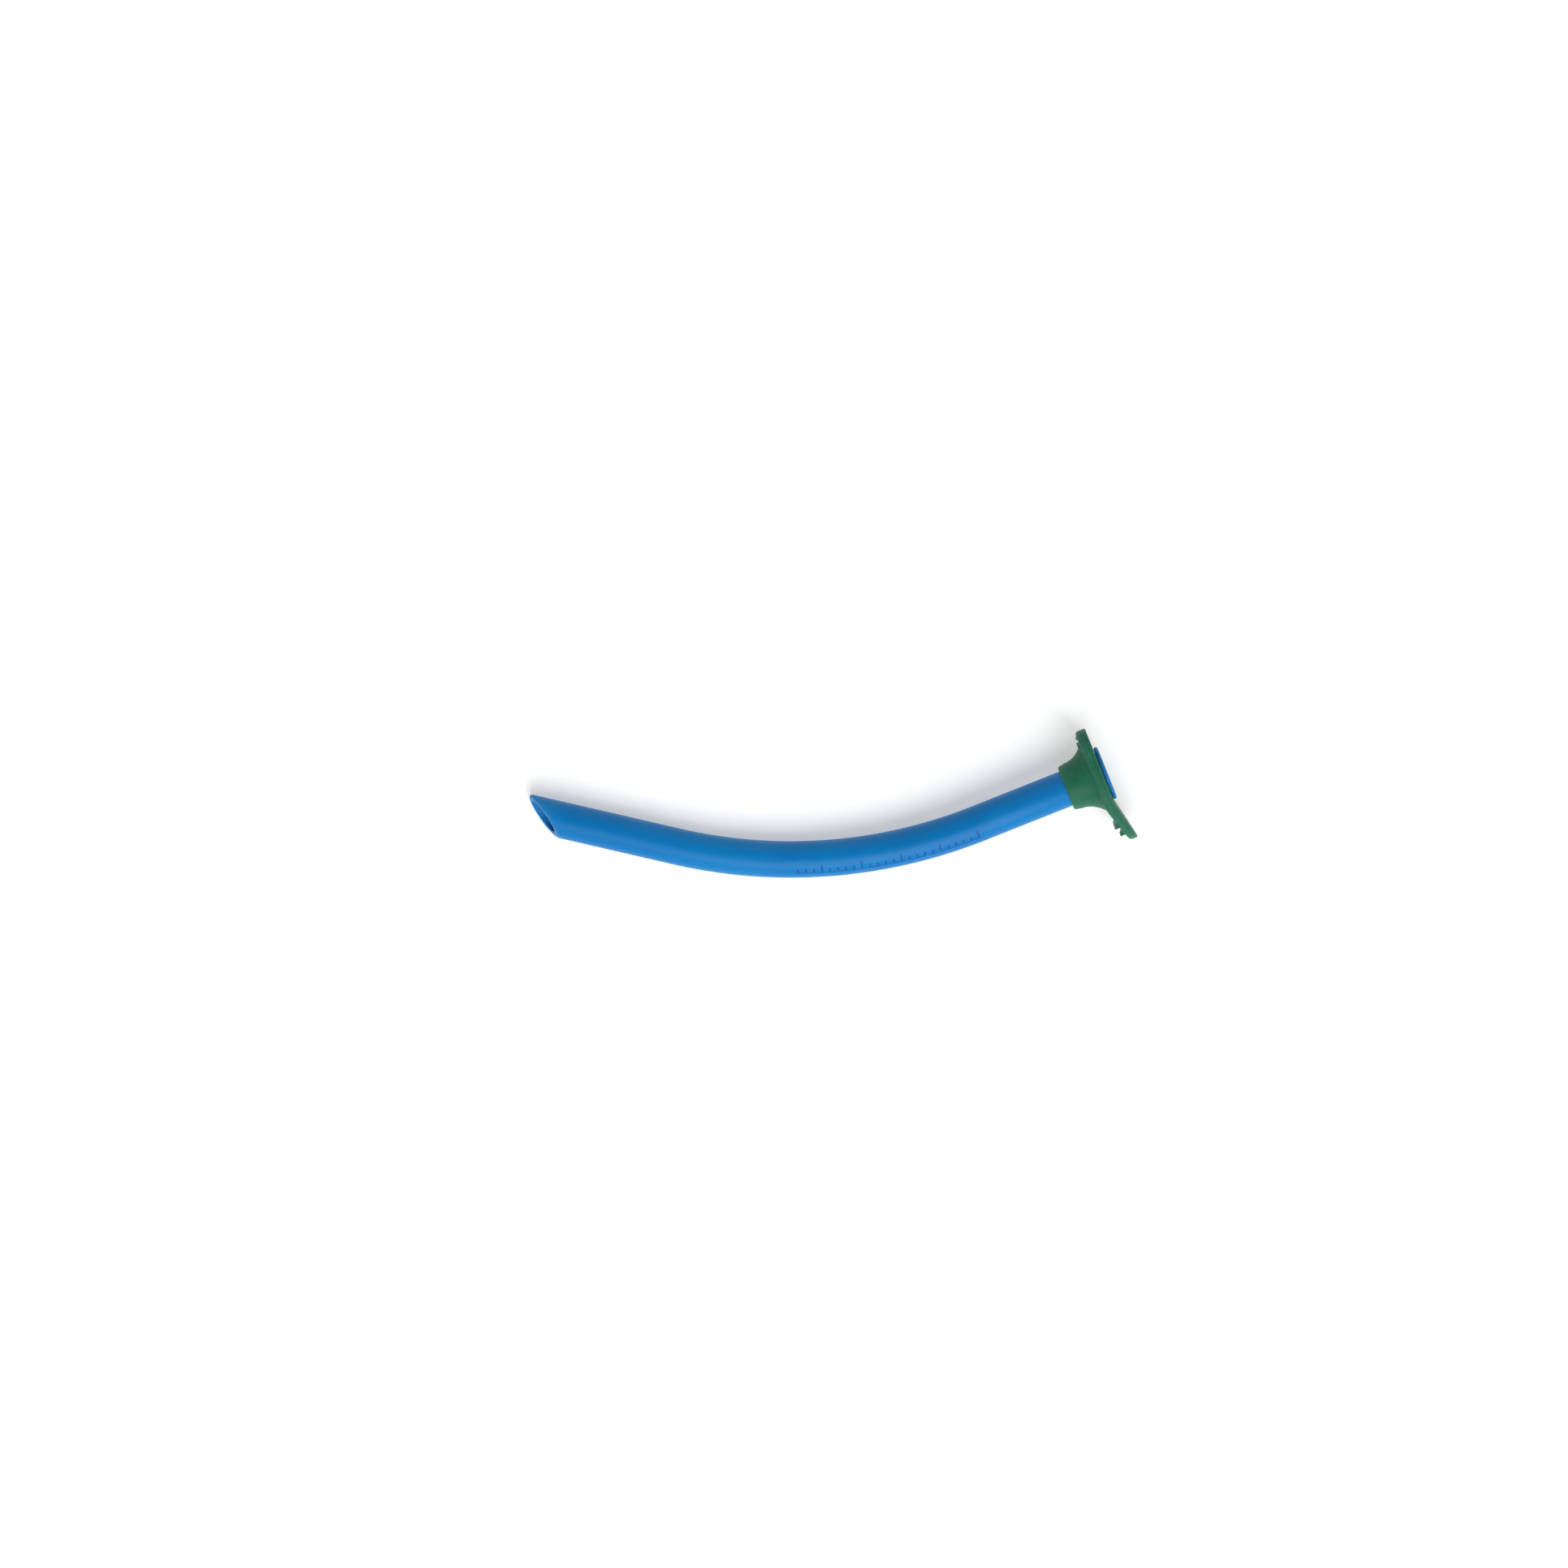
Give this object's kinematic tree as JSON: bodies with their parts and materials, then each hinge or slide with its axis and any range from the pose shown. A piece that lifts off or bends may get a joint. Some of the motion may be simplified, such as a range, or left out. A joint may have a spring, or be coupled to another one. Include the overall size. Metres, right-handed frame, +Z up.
{
  "type": "nasopharyngeal airway",
  "caption": "Soft curved nasal airway tube with a bevelled rounded tip and a flared lip, and a winged oval flange that slides along its straight end to set the depth.",
  "frame": {"origin": "centre of the bounding box's bottom face, on the floor the airway lies on", "axes": "+Z up, away from the floor; +X along the airway's length, from the bevelled tip towards the lip and flange; +Y towards the inside of the bend"},
  "size_m": [0.154, 0.0376, 0.0183],
  "materials": {
    "airway_tube": "satin soft vinyl, moulded, faintly translucent",
    "adjustable_flange": "matte soft vinyl, moulded"
  },
  "bodies": {
    "airway_tube": {"airway_tube": "airway_tube"},
    "flange": {"adjustable_flange": "adjustable_flange"}
  },
  "joints": [
    {"name": "flange_slide", "type": "slide", "parent": "airway_tube", "child": "flange", "axis": [-0.9264, -0.3705, -0.0676], "range_m": [0, 0.022]}
  ]
}
